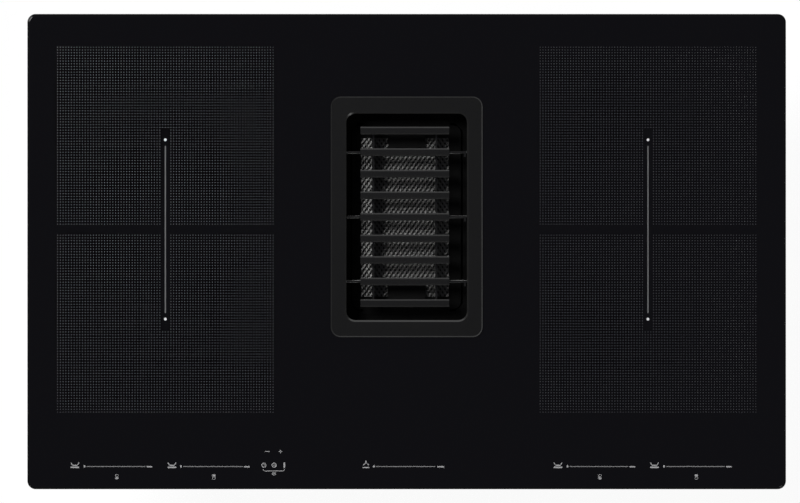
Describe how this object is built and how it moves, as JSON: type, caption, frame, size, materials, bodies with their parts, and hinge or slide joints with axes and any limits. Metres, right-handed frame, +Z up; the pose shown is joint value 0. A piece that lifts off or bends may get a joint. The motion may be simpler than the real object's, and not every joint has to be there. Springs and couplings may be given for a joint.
{
  "type": "downdraft induction cooktop",
  "caption": "Black glass induction cooktop with a central downdraft vent: lift-off grille and filter, coils and electronics in a steel tray, scroll blower and flat rear duct spigot below.",
  "frame": {"origin": "centre of the glass plate's outline, on the worktop's top face (underside of the foam strip)", "axes": "+X to the right seen by the cook, +Y to the rear, +Z up"},
  "size_m": [0.83, 0.52, 0.213],
  "materials": {
    "black_glass": "polished black glass-ceramic",
    "foam": "closed-cell foam strip",
    "silicone": "black silicone",
    "trim_black": "fine satin black",
    "grille_black": "black enamel, satin",
    "filter_steel_dark": "dark coated steel",
    "filter_steel": "expanded steel sheet, dulled",
    "handle_plastic": "dark grey moulded plastic",
    "well_plastic": "black moulded plastic",
    "tray_plastic": "grey moulded plastic",
    "zinc_steel": "galvanised sheet",
    "aluminium_sheet": "mill-finish aluminium",
    "mica": "mica sheet",
    "former_plastic": "glass-filled plastic",
    "copper_wire": "enamelled litz wire",
    "ferrite": "sintered ferrite",
    "ceramic": "white ceramic",
    "board_green": "circuit board",
    "fan_plastic": "black moulded plastic",
    "casing_plastic": "black polypropylene",
    "impeller_plastic": "grey moulded plastic",
    "motor_steel": "zinc-plated steel",
    "screw_steel": "zinc-plated steel",
    "flap_plastic": "grey moulded plastic",
    "spring_steel": "zinc-plated spring steel",
    "terminal_plastic": "light grey plastic",
    "gland_plastic": "black polyamide"
  },
  "bodies": {
    "chassis": {"blower_casing": "casing_plastic", "blower_inlet_plate": "casing_plastic", "cable_gland": "gland_plastic", "casing_screws": "screw_steel", "clamp_screws": "screw_steel", "coil_carrier_left": "aluminium_sheet", "coil_carrier_right": "aluminium_sheet", "coil_ferrites_left_front": "ferrite", "coil_ferrites_left_rear": "ferrite", "coil_ferrites_right_front": "ferrite", "coil_ferrites_right_rear": "ferrite", "coil_former_left_front": "former_plastic", "coil_former_left_rear": "former_plastic", "coil_former_right_front": "former_plastic", "coil_former_right_rear": "former_plastic", "coil_winding_left_front": "copper_wire", "coil_winding_left_rear": "copper_wire", "coil_winding_right_front": "copper_wire", "coil_winding_right_rear": "copper_wire", "cooling_fan_housing_left": "fan_plastic", "cooling_fan_housing_right": "fan_plastic", "duct_spigot": "casing_plastic", "filter_well": "well_plastic", "flap_pin": "screw_steel", "glass_sensors": "ceramic", "glass_top": "black_glass", "heatsink_left": "aluminium_sheet", "heatsink_right": "aluminium_sheet", "hob_tray": "zinc_steel", "insulation_sheets": "mica", "motor_stator": "motor_steel", "plenum_duct": "casing_plastic", "power_board_left": "board_green", "power_board_right": "board_green", "terminal_block": "terminal_plastic", "terminal_box": "terminal_plastic", "terminal_cover": "terminal_plastic", "touch_board": "board_green", "touch_board_holder": "former_plastic", "trim_frame": "trim_black", "trim_seal": "silicone", "well_seal": "silicone", "worktop_clamp_left_front": "spring_steel", "worktop_clamp_left_rear": "spring_steel", "worktop_clamp_right_front": "spring_steel", "worktop_clamp_right_rear": "spring_steel", "worktop_gasket": "foam"},
    "grille": {"grille_slats": "grille_black", "grille_supports": "grille_black"},
    "filter": {"filter_frame": "filter_steel_dark", "filter_mesh": "filter_steel", "filter_baffle": "filter_steel_dark", "filter_handle_front": "handle_plastic", "filter_handle_rear": "handle_plastic"},
    "blower_wheel": {"impeller": "impeller_plastic", "motor_rotor": "motor_steel"},
    "fan_rotor_left": {"cooling_fan_rotor_left": "fan_plastic"},
    "fan_rotor_right": {"cooling_fan_rotor_right": "fan_plastic"},
    "flap": {"backdraft_flap": "flap_plastic"},
    "overflow": {"overflow_tray": "tray_plastic"}
  },
  "joints": [
    {"name": "filter_lift", "type": "slide", "parent": "chassis", "child": "filter", "axis": [0, 0, 1], "range_m": [0, 0.08]},
    {"name": "grille_lift", "type": "slide", "parent": "filter", "child": "grille", "axis": [0, 0, 1], "range_m": [0, 0.045]},
    {"name": "impeller_spin", "type": "hinge", "parent": "chassis", "child": "blower_wheel", "pos_m": [0.236, 0.038, -0.15], "axis": [0, 0, 1], "continuous": true},
    {"name": "fan_left_spin", "type": "hinge", "parent": "chassis", "child": "fan_rotor_left", "pos_m": [-0.264, -0.106, -0.04], "axis": [0, 0, 1], "continuous": true},
    {"name": "fan_right_spin", "type": "hinge", "parent": "chassis", "child": "fan_rotor_right", "pos_m": [0.264, -0.106, -0.04], "axis": [0, 0, 1], "continuous": true},
    {"name": "flap_swing", "type": "hinge", "parent": "chassis", "child": "flap", "pos_m": [0.182, 0.2041, -0.1186], "axis": [1, 0, 0], "range_deg": [0, 75]},
    {"name": "overflow_tray_drop", "type": "slide", "parent": "chassis", "child": "overflow", "axis": [0, 0, -1], "range_m": [0, 0.05]}
  ]
}
